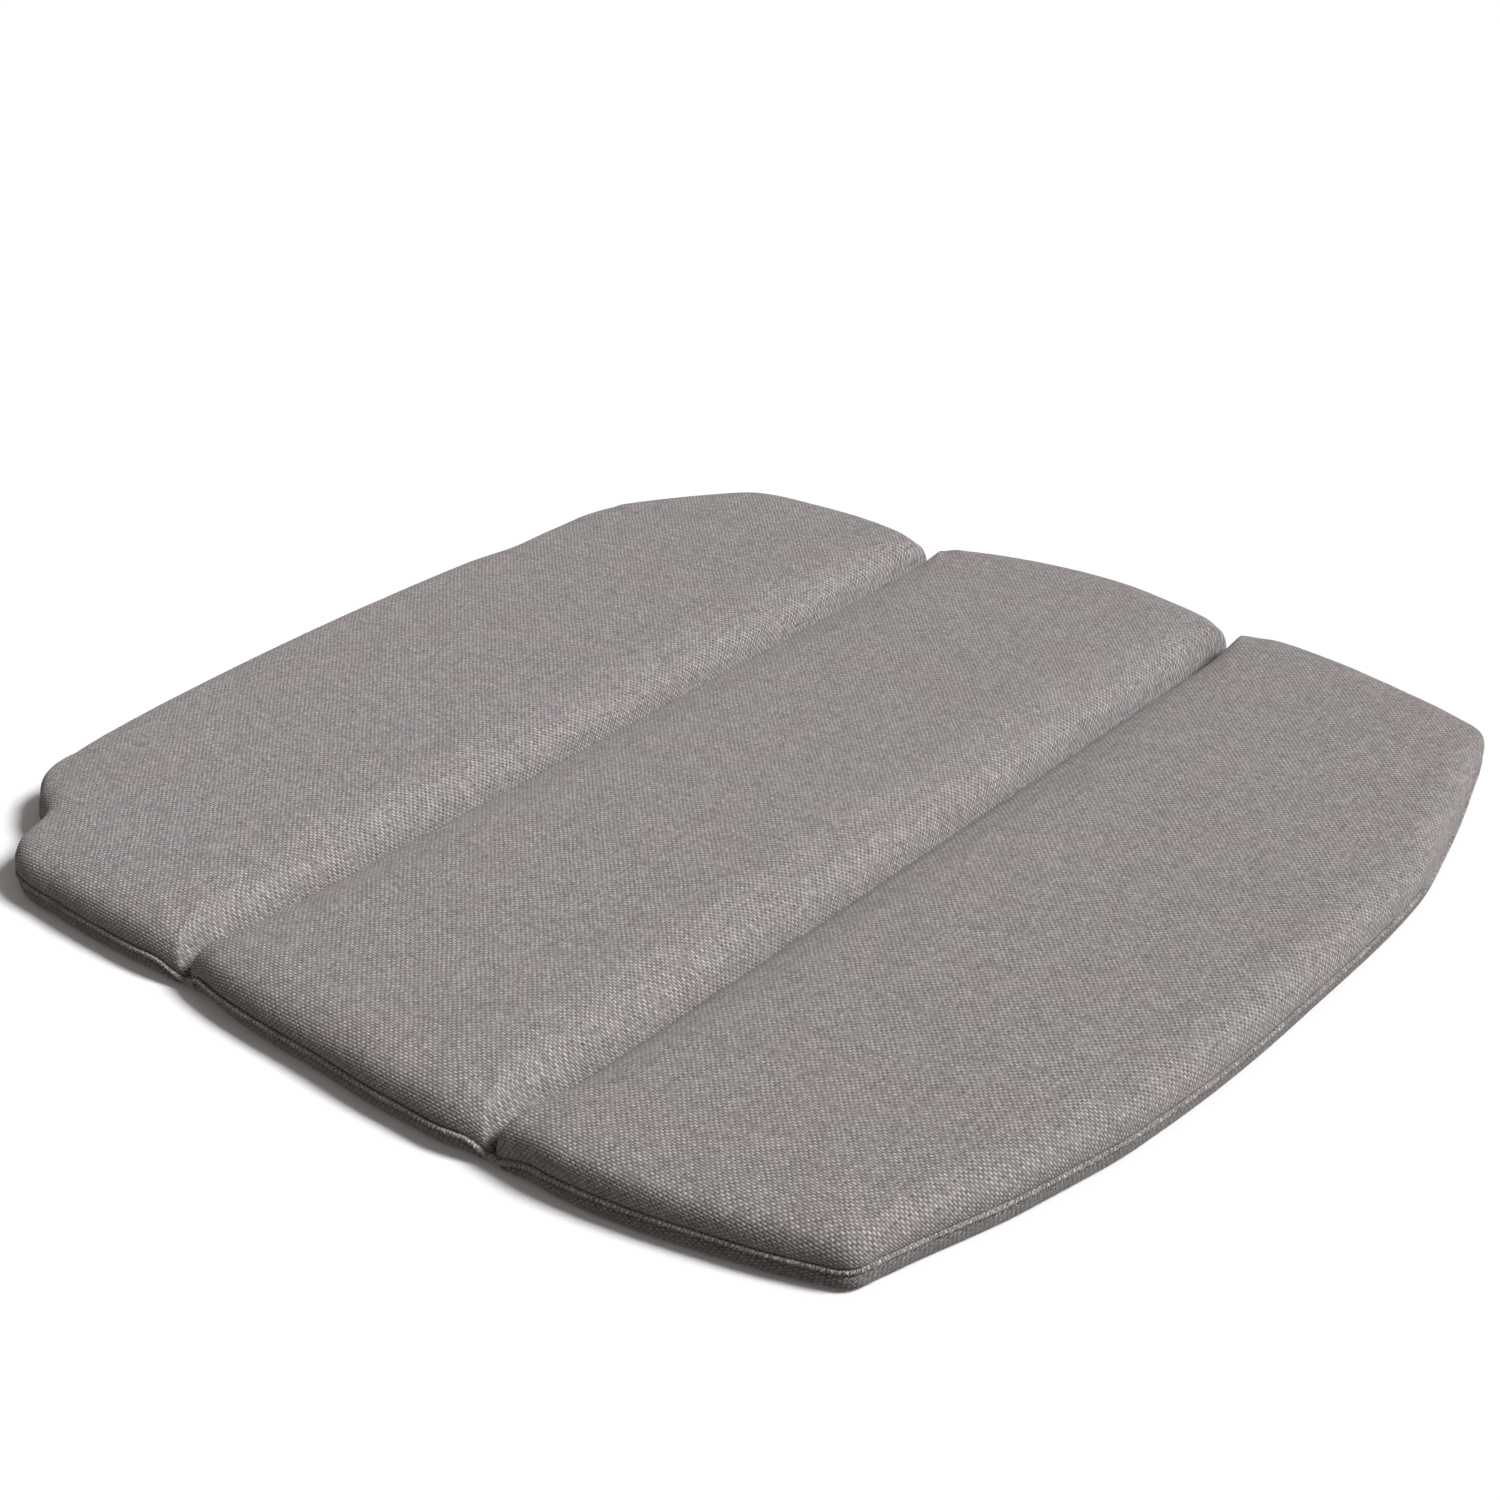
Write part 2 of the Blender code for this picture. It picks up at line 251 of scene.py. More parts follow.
class Panel:
    """One panel's outline as four sides, anticlockwise: left (rear to front), front, right, rear."""

    def __init__(self, name):
        self.name = name
        self.deep = DEEP[name]
        self.front_is_channel = name != "front"
        self.rear_is_channel = name != "rear"
        loop = panel_hull(name)
        self.front_y = loop[:, 1].min()
        self.rear_y = loop[:, 1].max()
        right, front, rear = self.split(loop)
        left = right[::-1] * MIRROR
        self.ring = np.concatenate([left[:-1], front[:-1], right[:-1], rear[:-1]])
        self.softness = np.zeros(len(self.ring))
        if name != "front":
            self.softness = SOFT_SHARE * smooth_step((-self.ring[:, 0] - SOFT_START) / SOFT_REACH)

    def split(self, loop):
        """The right side upwards, the front side left to right, and the rear side right to left."""
        half = right_half(loop)
        if not self.front_is_channel:
            half = [(0.0, self.front_y)] + half
        if not self.rear_is_channel:
            half = half + [(0.0, self.rear_y)]
        smooth = np.array(catmull_rom(half, OUTLINE_STEPS))
        start = 0 if self.front_is_channel else self.outer_corner(smooth, -1)
        end = len(smooth) - 1 if self.rear_is_channel else self.outer_corner(smooth, 1)
        right = resampled(smooth[start:end + 1], self.deep, GRADING)
        if self.front_is_channel:
            front_line = [right[0] * MIRROR, right[0]]
        else:
            front_half = smooth[:start + 1]
            front_line = np.concatenate([front_half[::-1] * MIRROR, front_half[1:]])
        if self.rear_is_channel:
            rear_line = [right[-1], right[-1] * MIRROR]
        else:
            rear_half = smooth[end:]
            rear_line = np.concatenate([rear_half, rear_half[::-1][1:] * MIRROR])
        return right, resampled(front_line, ACROSS, GRADING), resampled(rear_line, ACROSS, GRADING)

    def outer_corner(self, line, way):
        """The index of the line's point that lies furthest out towards a corner, in front (-1) or at the rear (1)."""
        middle_y = (self.front_y + self.rear_y) / 2
        half_depth = (self.rear_y - self.front_y) / 2
        spread = np.abs(line[:, 0]) / HALF_WIDTH + np.abs(line[:, 1] - middle_y) / half_depth * 0.5
        return int(np.argmax(np.where((line[:, 1] - middle_y) * way > 0, spread, -1)))

    def channel_distance(self, y):
        near_front = y - self.front_y if self.front_is_channel else np.full_like(y, FAR_AWAY)
        near_rear = self.rear_y - y if self.rear_is_channel else np.full_like(y, FAR_AWAY)
        return np.minimum(near_front, near_rear)

    def section(self, outer, channel, is_top=True):
        """The outline moved in by one station of the edge sections."""
        x, y = self.ring.T
        channel_inset = channel[0]
        if is_top:
            towards_end = smooth_step((np.abs(x) - PINCH_START) / (HALF_WIDTH - PINCH_START))
            channel_inset = channel[0] * (1 - PINCH * towards_end)
        front_inset = channel_inset if self.front_is_channel else outer[0]
        rear_inset = channel_inset if self.rear_is_channel else outer[0]
        along = (y - self.front_y) / (self.rear_y - self.front_y)
        dip = SEAM_DIP if is_top else BOTTOM_DIP
        share = 1 - smooth_step(self.channel_distance(y) / dip[self.name])
        new_y = mix(self.front_y + front_inset, self.rear_y - rear_inset, along)
        points = np.stack([x * (1 - outer[0] / HALF_WIDTH), new_y, mix(outer[1], channel[1], share)], axis=1)
        return as_sewn(points)


# ---------------------------------------------------------------- cushions

def coons(ring, deep):
    """A grid of points filling the ring, whose four sides have deep, ACROSS, deep and ACROSS steps."""
    left = ring[:deep + 1][::-1]
    front = ring[deep:deep + ACROSS + 1]
    right = ring[deep + ACROSS:2 * deep + ACROSS + 1]
    rear = np.concatenate([ring[2 * deep + ACROSS:], ring[:1]])[::-1]
    u = np.linspace(0, 1, ACROSS + 1)[None, :, None]
    v = np.linspace(0, 1, deep + 1)[:, None, None]
    ruled = (1 - v) * front[None] + v * rear[None] + (1 - u) * left[:, None] + u * right[:, None]
    corners = ((1 - u) * (1 - v) * front[0] + u * (1 - v) * front[-1]
               + (1 - u) * v * rear[0] + u * v * rear[-1])
    return ruled - corners


def grid_ring_indices(deep):
    """For each point of the ring, its (row, column) in the grid."""
    left = [(row, 0) for row in range(deep, 0, -1)]
    front = [(0, column) for column in range(ACROSS)]
    right = [(row, ACROSS) for row in range(deep)]
    rear = [(deep, column) for column in range(ACROSS, 0, -1)]
    return left + front + right + rear


def unrolled(rings):
    """Each ring's place in the flat cloth: the innermost ring stays, the others lie out by the cloth's length."""
    flat = [rings[-1][:, :2]]
    for inner, outer in zip(rings[:0:-1], rings[-2::-1]):
        step = np.linalg.norm(outer - inner, axis=1)[:, None]
        out = outer[:, :2] - rings[-1][:, :2]
        out = out / np.maximum(np.linalg.norm(out, axis=1)[:, None], TINY)
        flat.append(flat[-1] + out * step)
    return flat[::-1]


def face_loops(indices_a, indices_b):
    """The quads between two closed rings of points."""
    count = len(indices_a)
    return [(indices_a[i], indices_a[(i + 1) % count], indices_b[(i + 1) % count], indices_b[i])
            for i in range(count)]


def cushion_rings(panel, side):
    """The wall from the seam to the innermost ring of the top or the bottom."""
    sections = (CRISP_TOP, SOFT_TOP, CHANNEL_TOP) if side == "top" else (OUTER_BOTTOM, OUTER_BOTTOM, CHANNEL_BOTTOM)
    rings = []
    for crisp, soft, fold in zip(*[catmull_rom(section, SECTION_STEPS) for section in sections]):
        blended = [mix(c, s, panel.softness) for c, s in zip(crisp, soft)]
        rings.append(panel.section(blended, fold, side == "top"))
    return rings


def face_grid(panel, side, ring):
    """The points that fill the ring, crowned on the top."""
    grid = coons(ring, panel.deep)
    if side == "top":
        u = np.linspace(-1, 1, ACROSS + 1)[None, :]
        v = np.linspace(-1, 1, panel.deep + 1)[:, None]
        grid[:, :, 2] += CROWN * (1 - u ** 4) * (1 - v ** 2)
    return grid


def cushion_mesh(panel):
    """One closed form: bottom grid, bottom wall, seam line, top wall, top grid."""
    verts = []
    cloth = []
    faces = []
    is_top = []

    def add(points, flat):
        first = sum(len(v) for v in verts)
        verts.append(points)
        cloth.append(np.concatenate([flat, np.zeros((len(flat), 1))], axis=1))
        return list(range(first, first + len(points)))

    previous = None
    for side in ("bottom", "top"):
        rings = cushion_rings(panel, side)
        flats = unrolled(rings)
        grid = face_grid(panel, side, rings[-1])
        ids = np.zeros(grid.shape[:2], int)
        inner_ring = add(rings[-1], flats[-1])
        for index, (row, column) in zip(inner_ring, grid_ring_indices(panel.deep)):
            ids[row, column] = index
        inside = grid[1:-1, 1:-1].reshape(-1, 3)
        ids[1:-1, 1:-1] = np.array(add(inside, inside[:, :2])).reshape(panel.deep - 1, ACROSS - 1)
        for row in range(panel.deep):
            for column in range(ACROSS):
                quad = (ids[row, column], ids[row, column + 1], ids[row + 1, column + 1], ids[row + 1, column])
                faces.append(quad if side == "top" else quad[::-1])
                is_top.append(side == "top")
        inwards = range(len(rings))
        for k in (inwards if side == "top" else reversed(inwards)):
            current = inner_ring if k == len(rings) - 1 else add(rings[k], flats[k])
            if previous is not None:
                faces.extend(face_loops(previous, current))
                is_top.extend([side == "top"] * len(current))
            previous = current
    return np.concatenate(verts), np.concatenate(cloth), faces, is_top


def new_mesh_object(name, verts, faces, materials):
    mesh = bpy.data.meshes.new(name)
    mesh.from_pydata([tuple(v) for v in verts], [], faces)
    for material in materials:
        mesh.materials.append(material)
    mesh.shade_smooth()
    obj = bpy.data.objects.new(name, mesh)
    bpy.context.scene.collection.objects.link(obj)
    return obj


def set_cloth_coordinates(obj, cloth):
    attribute = obj.data.attributes.new("cloth", "FLOAT_VECTOR", "POINT")
    attribute.data.foreach_set("vector", np.asarray(cloth, np.float32).ravel())


def held_points(points):
    """1 where the cover is sewn down or rests on something, less near there, 0 where it is free to swell."""
    fold = np.minimum(np.abs(points[:, 1] - FRONT_Y), np.abs(points[:, 1] - REAR_Y))
    by_channel = 1 - smooth_step((fold - 0.004) / 0.006)
    low = 1 - smooth_step((points[:, 2] - SEAM_Z - 0.0010) / 0.0030)
    return np.maximum(by_channel, low)


def swell(obj):
    """The foam presses the cover outwards between its seams: a cloth simulation, held to PUFF_LIMIT."""
    count = len(obj.data.vertices)
    start = np.zeros(count * 3, np.float32)
    obj.data.vertices.foreach_get("co", start)
    start = start.reshape(-1, 3)
    held = obj.vertex_groups.new(name="held")
    for index, weight in enumerate(held_points(start)):
        held.add([index], float(weight), "REPLACE")
    modifier = obj.modifiers.new("swelling", "CLOTH")
    cloth = modifier.settings
    cloth.quality = 4
    cloth.mass = 0.25
    cloth.tension_stiffness = 12
    cloth.compression_stiffness = 12
    cloth.shear_stiffness = 4
    cloth.bending_stiffness = 6
    cloth.air_damping = 4
    cloth.use_pressure = True
    cloth.uniform_pressure_force = PUFF_PRESSURE
    cloth.vertex_group_mass = "held"
    cloth.effector_weights.gravity = 0
    modifier.point_cache.frame_start = 1
    modifier.point_cache.frame_end = PUFF_FRAMES
    scene = bpy.context.scene
    for frame_number in range(1, PUFF_FRAMES + 1):
        scene.frame_set(frame_number)
    evaluated = obj.evaluated_get(bpy.context.evaluated_depsgraph_get())
    swollen = np.zeros(count * 3, np.float32)
    evaluated.data.vertices.foreach_get("co", swollen)
    move = swollen.reshape(-1, 3) - start
    size = np.maximum(np.linalg.norm(move, axis=1), TINY)[:, None]
    move *= PUFF_LIMIT * np.tanh(size / PUFF_LIMIT) / size
    obj.modifiers.remove(modifier)
    obj.vertex_groups.remove(held)
    scene.frame_set(1)
    obj.data.vertices.foreach_set("co", (start + move).ravel())
    obj.data.update()


def build_cushion(panel, mats):
    verts, cloth, faces, is_top = cushion_mesh(panel)
    obj = new_mesh_object(f"{panel.name}_cushion", verts, faces, [mats["top"], mats["bottom"]])
    obj.data.polygons.foreach_set("material_index", [TOP_SLOT if top else BOTTOM_SLOT for top in is_top])
    set_cloth_coordinates(obj, cloth)
    swell(obj)
    smooth = obj.modifiers.new("fine", "SUBSURF")
    smooth.levels = 1
    smooth.render_levels = 1
    return obj


# ---------------------------------------------------------------- sewing

def tube(line, radius, sides):
    """A closed tube along a line, with its section kept upright: its points and its faces."""
    line = np.array(line, float)
    tangent = np.gradient(line, axis=0)
    tangent /= np.linalg.norm(tangent, axis=1)[:, None]
    side = np.cross(tangent, [0, 0, 1.0])
    side /= np.maximum(np.linalg.norm(side, axis=1)[:, None], TINY)
    up = np.cross(side, tangent)
    radius = np.broadcast_to(radius, (len(line),))
    angles = np.arange(sides) / sides * 2 * math.pi
    verts = [p + r * (math.cos(a) * s + math.sin(a) * w)
             for p, r, s, w in zip(line, radius, side, up) for a in angles]
    faces = []
    for k in range(len(line) - 1):
        for i in range(sides):
            j = (i + 1) % sides
            faces.append((k * sides + i, (k + 1) * sides + i, (k + 1) * sides + j, k * sides + j))
    faces.append(tuple(range(sides)))
    faces.append(tuple(range((len(line) - 1) * sides, len(line) * sides))[::-1])
    return np.array(verts), faces


def merged(parts):
    """Several (points, faces) as one."""
    verts = []
    faces = []
    first = 0
    for part_verts, part_faces in parts:
        verts.append(part_verts)
        faces += [tuple(first + i for i in face) for face in part_faces]
        first += len(part_verts)
    return np.concatenate(verts), faces


def walked(line):
    """How far along the line each of its points is."""
    return np.r_[0, np.cumsum(np.linalg.norm(np.diff(line, axis=0), axis=1))]


def seam_lines(panel):
    """The perimeter seam's stretches between the channels, anticlockwise, from fold line to fold line."""
    ring = panel.section((WELT_INSET, SEAM_Z), (0.0, SEAM_END_Z))
    deep = panel.deep
    if panel.name == "middle":
        return {"left_": ring[:deep + 1], "right_": ring[deep + ACROSS:2 * deep + ACROSS + 1]}
    if panel.name == "front":
        return {"": ring[:2 * deep + ACROSS + 1]}
    return {"": np.concatenate([ring[deep + ACROSS:], ring[:deep + 1]])}


def welt_tube(line):
    """The welt along a line, a little uneven as a turned-in edge is, with its cloth coordinates."""
    dense = resampled(line, max(len(line) * 3, 12))
    along = walked(dense)
    uneven = 1 + 0.06 * np.sin(along * 410) + 0.05 * np.sin(along * 173 + 1.0)
    verts, faces = tube(dense, WELT_RADIUS * uneven, WELT_SIDES)
    around = np.tile(np.arange(WELT_SIDES) / WELT_SIDES * 2 * math.pi * WELT_RADIUS, len(dense))
    cloth = np.stack([np.repeat(along, WELT_SIDES), around, np.zeros(len(around))], axis=1)
    return verts, faces, cloth


def split_at_channels(line):
    """The part of a seam line that belongs to its panel."""
    dense = resampled(line, len(line) * 4)
    away = np.minimum(np.abs(dense[:, 1] - FRONT_Y), np.abs(dense[:, 1] - REAR_Y))
    return dense[away > SEAM_BREAK]


def build_welts(panel, mats):
    """The turned-in edges of the covers that stand out along the seam, and the stitches that close them."""
    for side, line in seam_lines(panel).items():
        own = split_at_channels(line)
        verts, faces, cloth = welt_tube(resampled(own, len(line)))
        welt = new_mesh_object(f"{panel.name}_{side}edge_welt", verts, faces, [mats["welt"]])
        set_cloth_coordinates(welt, cloth)
        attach(welt, f"{panel.name}_panel")
        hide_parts(f"{panel.name}_{side}edge_seam")
        stitches = edge_stitches(own)
        obj = new_mesh_object(f"{panel.name}_{side}edge_stitches", *stitches, [mats["thread"]])
        set_cloth_coordinates(obj, stitches[0])
        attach(obj, f"{panel.name}_panel")
        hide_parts(f"{panel.name}_{side}edge_thread")


def edge_stitches(line):
    """Short slanted stitches over the outside of the welt."""
    count = int(walked(line)[-1] / EDGE_STITCH_PITCH)
    dense = resampled(line, count)
    tangent = np.gradient(dense, axis=0)
    tangent /= np.linalg.norm(tangent, axis=1)[:, None]
    outward = np.cross(tangent, [0, 0, 1.0])
    outward /= np.linalg.norm(outward, axis=1)[:, None]
    up = np.cross(outward, tangent)
    reach = WELT_RADIUS + EDGE_STITCH_RADIUS * 0.4
    parts = []
    for p, t, o, w in zip(dense, tangent, outward, up):
        arc = [p + reach * (math.cos(a) * o + math.sin(a) * w) + t * a * EDGE_STITCH_SLANT
               for a in EDGE_STITCH_ANGLES]
        parts.append(tube(arc, EDGE_STITCH_RADIUS, 5))
    return merged(parts)


def fold_strip(y, x_low, x_high):
    """The band where the covers are sewn through: dimpled by each stitch on top and underneath."""
    steps = int((x_high - x_low) / STITCH_PITCH * 4)
    across = np.linspace(-1, 1, FOLD_POINTS)
    middle = (FOLD_TOP_Z + FOLD_BOTTOM_Z) / 2
    verts = []
    cloth = []
    for x in np.linspace(x_low, x_high, steps + 1):
        end = min((x - x_low) / 0.002, (x_high - x) / 0.002, 1.0)
        tuck = abs(math.sin(math.pi * x / STITCH_PITCH))
        for top in (True, False):
            for c in (across if top else across[::-1]):
                dip = math.exp(-(c / 0.35) ** 2) * (0.0007 - 0.0003 * tuck)
                edge = 1 - 0.35 * c ** 4
                z = FOLD_TOP_Z - dip if top else FOLD_BOTTOM_Z + dip
                z = middle + (z - middle) * edge * (0.55 + 0.45 * end)
                verts.append((x, y + c * FOLD_HALF_WIDTH, z))
                cloth.append((x, y + c * FOLD_HALF_WIDTH, 0.0))
    width = 2 * len(across)
    faces = [tuple(range(width))[::-1], tuple(range(steps * width, (steps + 1) * width))]
    slots = [TOP_SLOT, TOP_SLOT]
    for k in range(steps):
        for i in range(width):
            j = (i + 1) % width
            faces.append((k * width + i, k * width + j, (k + 1) * width + j, (k + 1) * width + i))
            slots.append(TOP_SLOT if i < len(across) else BOTTOM_SLOT)
    return np.array(verts), faces, np.array(cloth), slots


def row_of_stitches(y, z, x_low, x_high):
    """A row of lockstitches: each thread arcs from one needle hole to the next."""
    count = int((x_high - x_low) / STITCH_PITCH)
    parts = []
    for i in range(count):
        start = x_low + (x_high - x_low) * i / count + STITCH_HOLE
        end = x_low + (x_high - x_low) * (i + 1) / count - STITCH_HOLE
        rise = STITCH_RADIUS * (1.6 if z > HINGE_Z else -1.6)
        line = [(mix(start, end, t), y, z + rise * math.sin(math.pi * t) - rise * 0.5)
                for t in (0, 0.2, 0.5, 0.8, 1)]
        parts.append(tube(line, [STITCH_RADIUS * k for k in (0.6, 1, 1.05, 1, 0.6)], 6))
    return merged(parts)


def seam_crossings(y, neighbours):
    """Where the perimeter seam crosses the fold line at y: its left stretch and its right one."""
    lines = [line for panel in neighbours for line in seam_lines(panel).values()]
    reach = SEAM_BREAK + CROSSING_OVERLAP
    crossings = []
    for sign in (-1, 1):
        near = np.concatenate([line[(np.abs(line[:, 1] - y) < 0.012) & (line[:, 0] * sign > 0)] for line in lines])
        near = near[np.argsort(near[:, 1])]
        near = near[np.r_[True, np.diff(near[:, 1]) > 1e-5]]
        at = np.linspace(-reach, reach, CROSSING_POINTS) + y
        x = np.interp(at, near[:, 1], near[:, 0])
        z = np.interp(at, near[:, 1], near[:, 2])
        crossings.append(np.stack([x, at, z], axis=1))
    return crossings


def build_fold(name, y, x_low, x_high, crossings, mats):
    """The sewn-through band of one channel, with the welt's two crossings."""
    strip_verts, strip_faces, strip_cloth, slots = fold_strip(y, x_low, x_high)
    parts = [(strip_verts, strip_faces)]
    cloth = [strip_cloth]
    for crossing in crossings:
        verts, faces, welt_cloth = welt_tube(crossing)
        parts.append((verts, faces))
        cloth.append(welt_cloth)
        slots = slots + [WELT_SLOT] * len(faces)
    fold = new_mesh_object(f"{name}_channel_fold", *merged(parts), [mats["top"], mats["bottom"], mats["welt"]])
    fold.data.polygons.foreach_set("material_index", slots)
    set_cloth_coordinates(fold, np.concatenate(cloth))
    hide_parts(f"{name}_channel_seam")
    return fold


def build_channel(name, y, neighbours, mats):
    """What crosses one fold line: the sewn-through band, the welt's two crossings, and the stitches."""
    crossings = seam_crossings(y, neighbours)
    x_low, x_high = [crossing[CROSSING_POINTS // 2][0] for crossing in crossings]
    pieces = [build_fold(name, y, x_low + FOLD_END, x_high - FOLD_END, crossings, mats)]
    for kind, z in (("needle", FOLD_TOP_Z - STITCH_SINK), ("bobbin", FOLD_BOTTOM_Z + STITCH_SINK)):
        stitches = row_of_stitches(y, z, x_low + ROW_END, x_high - ROW_END)
        row = new_mesh_object(f"{name}_channel_{kind}_stitches", *stitches, [mats["thread"]])
        set_cloth_coordinates(row, stitches[0])
        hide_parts(f"{name}_channel_{kind}_thread")
        pieces.append(row)
    for piece in pieces:
        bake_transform(piece)


# ---------------------------------------------------------------- materials

class Nodes:
    """Short ways to add and join shader nodes."""

    def __init__(self, name):
        self.material = bpy.data.materials.new(name)
        self.material.use_nodes = True
        self.tree = self.material.node_tree
        self.shader = self.tree.nodes["Principled BSDF"]

    def add(self, kind, **settings):
        node = self.tree.nodes.new(kind)
        for key, value in settings.items():
            setattr(node, key, value)
        return node

    def join(self, value, socket):
        if isinstance(value, bpy.types.NodeSocket):
            self.tree.links.new(value, socket)
        else:
            socket.default_value = value

    def math(self, operation, a, b=0.0, c=0.0):
        node = self.add("ShaderNodeMath", operation=operation)
        for value, socket in zip((a, b, c), node.inputs):
            self.join(value, socket)
        return node.outputs[0]

    def combine(self, x, y, z=0.0):
        node = self.add("ShaderNodeCombineXYZ")
        for value, socket in zip((x, y, z), node.inputs):
            self.join(value, socket)
        return node.outputs[0]

    def noise(self, vector, scale, detail=2.0, roughness=0.5):
        node = self.add("ShaderNodeTexNoise")
        self.join(vector, node.inputs["Vector"])
        node.inputs["Scale"].default_value = scale
        node.inputs["Detail"].default_value = detail
        node.inputs["Roughness"].default_value = roughness
        return node.outputs["Fac"]

    def ramp(self, value, low, high, out_low=0.0, out_high=1.0):
        node = self.add("ShaderNodeMapRange")
        for v, key in ((value, "Value"), (low, "From Min"), (high, "From Max"),
                       (out_low, "To Min"), (out_high, "To Max")):
            self.join(v, node.inputs[key])
        return node.outputs["Result"]

    def blend(self, fac, a, b, mode="MIX"):
        node = self.add("ShaderNodeMix", data_type="RGBA", blend_type=mode)
        self.join(fac, node.inputs[0])
        self.join(a, node.inputs[6])
        self.join(b, node.inputs[7])
        return node.outputs[2]

    def bump(self, height, strength, distance):
        node = self.add("ShaderNodeBump")
        self.join(height, node.inputs["Height"])
        node.inputs["Strength"].default_value = strength
        node.inputs["Distance"].default_value = distance
        self.join(node.outputs["Normal"], self.shader.inputs["Normal"])


def scaled(colour, share):
    return (*[min(c * share, 1) for c in colour], 1)


def woven_material(name, light, dark, roughness, painted_gap_shade):
    """Plain weave of light and dark heathered yarns, laid along the cloth's own flat coordinates."""
    n = Nodes(name)
    cloth = n.add("ShaderNodeAttribute", attribute_name="cloth").outputs["Vector"]
    split = n.add("ShaderNodeSeparateXYZ")
    n.join(cloth, split.inputs[0])
    wander = n.math("MULTIPLY", n.math("SUBTRACT", n.noise(cloth, 60.0), 0.5), 1.1)
    u = n.math("ADD", n.math("MULTIPLY", split.outputs[0], 1 / YARN), wander)
    v = n.math("SUBTRACT", n.math("MULTIPLY", split.outputs[1], 1 / YARN), wander)
    su = n.math("SINE", n.math("MULTIPLY", u, math.pi))
    sv = n.math("SINE", n.math("MULTIPLY", v, math.pi))
    over = n.math("MULTIPLY", su, sv)
    warp = n.math("MULTIPLY", n.math("ABSOLUTE", su), n.math("MULTIPLY_ADD", over, 0.45, 0.55))
    weft = n.math("MULTIPLY", n.math("ABSOLUTE", sv), n.math("MULTIPLY_ADD", over, -0.45, 0.55))
    height = n.math("MAXIMUM", warp, weft)
    on_top = n.ramp(n.math("SUBTRACT", warp, weft), -0.08, 0.08)
    # each yarn has its own shade, which drifts along its length
    column = n.math("FLOOR", u)
    row = n.math("FLOOR", v)
    warp_shade = n.noise(n.combine(n.math("MULTIPLY", column, 7.31), n.math("MULTIPLY", v, 0.09)), 1.0, 3.0, 0.6)
    weft_shade = n.noise(n.combine(n.math("MULTIPLY", u, 0.09), n.math("MULTIPLY", row, 5.77)), 1.0, 3.0, 0.6)
    fibre = n.noise(cloth, 2600.0, 2.0, 0.7)
    patch = n.noise(cloth, 22.0, 3.0, 0.5)
    stretched = n.combine(n.math("MULTIPLY", split.outputs[0], 170.0), n.math("MULTIPLY", split.outputs[1], 820.0))
    slub = n.noise(stretched, 1.0, 2.0, 0.6)
    crossing = n.add("ShaderNodeTexWhiteNoise", noise_dimensions="2D")
    n.join(n.combine(column, row), crossing.inputs["Vector"])
    heather = n.ramp(crossing.outputs["Value"], 0.0, 1.0, 0.74, 1.16)
    streak = n.ramp(slub, 0.30, 0.46, 0.80, 1.0)
    heather = n.math("MULTIPLY", heather, streak)
    warp_colour = n.blend(n.ramp(warp_shade, 0.3, 0.7), scaled(light, 0.80), scaled(light, 1.22))
    weft_colour = n.blend(n.ramp(weft_shade, 0.3, 0.7), scaled(dark, 0.72), scaled(dark, 1.28))
    colour = n.blend(on_top, weft_colour, warp_colour)
    fuzz = n.blend(n.ramp(fibre, 0.3, 0.7), (0.45, 0.44, 0.42, 1), (1.0, 1.0, 1.0, 1))
    colour = n.blend(0.35, colour, fuzz, "MULTIPLY")
    tint = n.blend(n.ramp(patch, 0.35, 0.65), (1.02, 0.985, 0.99, 1), (0.985, 1.01, 0.995, 1))
    colour = n.blend(1.0, colour, tint, "MULTIPLY")
    colour = n.blend(1.0, colour, n.combine(heather, heather, heather), "MULTIPLY")
    # painted shade: the colour darkens towards the gaps between the yarns, where the weave's own shade falls
    shade = n.ramp(height, 0.15, 0.75, painted_gap_shade, 1.0)
    colour = n.blend(1.0, colour, n.combine(shade, shade, shade), "MULTIPLY")
    n.join(colour, n.shader.inputs["Base Color"])
    n.join(n.ramp(fibre, 0.2, 0.8, roughness - 0.08, min(roughness + 0.06, 1.0)), n.shader.inputs["Roughness"])
    n.shader.inputs["Specular IOR Level"].default_value = 0.25
    n.shader.inputs["Sheen Weight"].default_value = 0.18
    n.shader.inputs["Sheen Roughness"].default_value = 0.5
    n.shader.inputs["Sheen Tint"].default_value = (0.95, 0.92, 0.90, 1)
    relief = n.math("MULTIPLY_ADD", fibre, 0.25, height)
    n.bump(relief, 0.8, 0.0003)
    return n.material


def make_materials():
    return {
        "top": woven_material("taupe_weave", (0.462, 0.430, 0.431), (0.240, 0.218, 0.219), 0.90, 0.60),
        # painted shade: the underside and the wall below the seam take a darker copy of the top cloth, for the shade
        # under the cushion's edge
        "bottom": woven_material("taupe_weave_underside", (0.318, 0.295, 0.292), (0.159, 0.144, 0.143), 0.92, 0.60),
        # painted highlight: the welts take a lighter copy of the top cloth, for the light that the raised seam edge
        # catches
        "welt": woven_material("taupe_weave_seam", (0.50, 0.468, 0.462), (0.28, 0.257, 0.254), 0.88, 0.5),
        "thread": woven_material("sewing_thread", (0.60, 0.57, 0.55), (0.42, 0.39, 0.38), 0.7, 0.6),
    }


# ---------------------------------------------------------------- stage

def build_floor():
    mesh = bpy.data.meshes.new("floor")
    corners = [(x * FLOOR_HALF, y * FLOOR_HALF, FLOOR_Z) for x, y in ((-1, -1), (1, -1), (1, 1), (-1, 1))]
    mesh.from_pydata(corners, [], [(0, 1, 2, 3)])
    floor = bpy.data.objects.new("floor", mesh)
    bpy.context.scene.collection.objects.link(floor)
    n = Nodes("studio_floor")
    n.shader.inputs["Base Color"].default_value = (0.93, 0.93, 0.93, 1)
    n.shader.inputs["Roughness"].default_value = 0.9
    mesh.materials.append(n.material)
    floor.visible_diffuse = False


